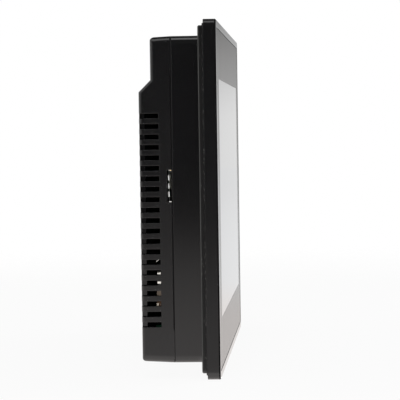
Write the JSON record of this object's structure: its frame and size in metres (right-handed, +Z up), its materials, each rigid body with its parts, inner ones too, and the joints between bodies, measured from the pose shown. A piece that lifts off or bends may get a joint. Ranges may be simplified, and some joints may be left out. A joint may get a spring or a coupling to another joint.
{
  "type": "panel-mount hmi touch panel",
  "caption": "Flat panel-mount operator touch screen: flanged front with clear window, cabinet gasket, vented stepped rear cover, memory card slot and ports along the lower edge.",
  "frame": {"origin": "centre of the cabinet cut-out, on the plane where the gasket's rear face meets the cabinet sheet", "axes": "+X to the operator's right, +Y from the front face towards the back, +Z up"},
  "size_m": [0.192, 0.0305, 0.138],
  "materials": {
    "housing_plastic": "fine moulded grain",
    "overlay_film": "fine matte film",
    "touch_film": "hard-coated film",
    "touch_glass": "float glass with a conductive coat",
    "flex_film": "amber polyimide",
    "gasket_rubber": "closed-cell foam rubber",
    "foam": "soft foam tape",
    "sheet_steel": "rolled sheet",
    "display_glass": "polarised cell",
    "backlight": "white light guide tray",
    "zinc_plate": "zinc plated sheet",
    "zinc_screw": "zinc plated",
    "black_screw": "black oxide",
    "brass_standoff": "turned",
    "board_laminate": "solder mask",
    "chip_plastic": "moulded epoxy",
    "heat_sink_aluminium": "anodised",
    "capacitor_can": "drawn can",
    "inductor_ferrite": "ferrite",
    "buzzer_plastic": "moulded",
    "holder_plastic": "moulded",
    "cell_steel": "plated can",
    "white_plastic": "natural nylon",
    "capacitor_tan": "dipped coat",
    "cream_plastic": "moulded",
    "header_green": "moulded",
    "tin_pins": "tinned",
    "jack_plastic": "moulded",
    "port_steel": "nickel plated",
    "gold_contacts": "gold flashed",
    "usb_plastic": "moulded",
    "socket_plastic": "moulded",
    "socket_steel": "nickel plated",
    "carriage_plastic": "moulded",
    "spring_steel": "drawn wire",
    "switch_red": "moulded",
    "slider_white": "moulded",
    "reset_plastic": "moulded",
    "button_plastic": "moulded"
  },
  "bodies": {
    "housing": {"front_frame": "housing_plastic", "rear_cover": "housing_plastic", "front_overlay": "overlay_film", "touch_film": "touch_film", "touch_glass": "touch_glass", "touch_tail": "flex_film", "lcd_tail": "flex_film", "panel_gasket": "gasket_rubber", "lcd_foam": "foam", "lcd_frame": "sheet_steel", "lcd_cell": "display_glass", "lcd_backlight": "backlight", "shield_plate": "zinc_plate", "plate_screws": "zinc_screw", "board_screws": "zinc_screw", "cover_screws": "black_screw", "board_standoffs": "brass_standoff", "main_board": "board_laminate", "processor": "chip_plastic", "memory_chips": "chip_plastic", "heat_sink": "heat_sink_aluminium", "capacitors": "capacitor_can", "inductor": "inductor_ferrite", "buzzer": "buzzer_plastic", "battery_holder": "holder_plastic", "coin_cell": "cell_steel", "backlight_header": "white_plastic", "film_capacitor": "capacitor_tan", "flex_connectors": "cream_plastic", "power_header": "header_green", "serial_header": "header_green", "power_pins": "tin_pins", "serial_pins": "tin_pins", "network_jack": "jack_plastic", "network_shield": "port_steel", "network_contacts": "gold_contacts", "usb_host_shell": "port_steel", "usb_host_insert": "usb_plastic", "usb_device_shell": "port_steel", "usb_device_insert": "jack_plastic", "card_socket_base": "socket_plastic", "card_socket_shell": "socket_steel", "card_contacts": "gold_contacts", "card_spring": "spring_steel", "mode_switch": "switch_red", "reset_switch": "reset_plastic"},
    "card_carriage": {"card_carriage": "carriage_plastic"},
    "mode_slider_1": {"mode_slider_1": "slider_white"},
    "mode_slider_2": {"mode_slider_2": "slider_white"},
    "reset_button": {"reset_button": "button_plastic"}
  },
  "joints": [
    {"name": "card_slide", "type": "slide", "parent": "housing", "child": "card_carriage", "axis": [1, 0, 0], "range_m": [0, 0.0025], "stiffness_N_per_m": 300, "deforming": ["card_spring"]},
    {"name": "mode_slide_1", "type": "slide", "parent": "housing", "child": "mode_slider_1", "axis": [0, 1, 0], "range_m": [0, 0.0012]},
    {"name": "mode_slide_2", "type": "slide", "parent": "housing", "child": "mode_slider_2", "axis": [0, 1, 0], "range_m": [0, 0.0012]},
    {"name": "reset_press", "type": "slide", "parent": "housing", "child": "reset_button", "axis": [0, 0, 1], "range_m": [0, 0.0004], "stiffness_N_per_m": 2000}
  ]
}
